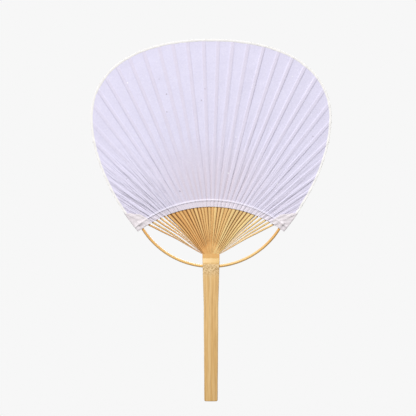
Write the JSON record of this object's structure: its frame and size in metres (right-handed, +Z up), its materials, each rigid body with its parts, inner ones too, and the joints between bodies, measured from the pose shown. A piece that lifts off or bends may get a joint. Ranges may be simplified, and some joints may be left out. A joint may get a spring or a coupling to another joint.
{
  "type": "round paper fan with a split bamboo handle",
  "caption": "Rigid hand fan: a flat handle split into spreading ribs, faced with paper front and back, its rim bound, with a bent bow through the handle up to both lower corners.",
  "frame": {"origin": "centre of the handle's flat end face, mount handle_end", "axes": "+Z up along the handle to the top of the head, +X to the right seen from the front, +Y towards the back; the front paper faces -Y"},
  "size_m": [0.253, 0.0056, 0.38],
  "materials": {
    "split_bamboo": "planed bamboo with fine straight fibres along the strip, a waxy sheen and darker split faces between the ribs",
    "bow_bamboo": "round scraped bamboo rod, slightly darker than the handle, satin",
    "thread": "undyed twisted cotton thread, matte",
    "face_paper": "handmade paper pasted over the ribs, matte, cool lavender white, fine fibres and specks, raised over each rib",
    "rim_paper": "narrow cream paper strip folded over the rim, matte, slightly uneven edge",
    "patch_paper": "thin crinkled pinkish white paper pasted over each lower corner, matte"
  },
  "bodies": {
    "root": {"handle_and_ribs": "split_bamboo", "bow": "bow_bamboo", "binding_thread": "thread", "front_paper": "face_paper", "back_paper": "face_paper", "rim_binding": "rim_paper", "left_corner_patch": "patch_paper", "right_corner_patch": "patch_paper"}
  },
  "joints": []
}
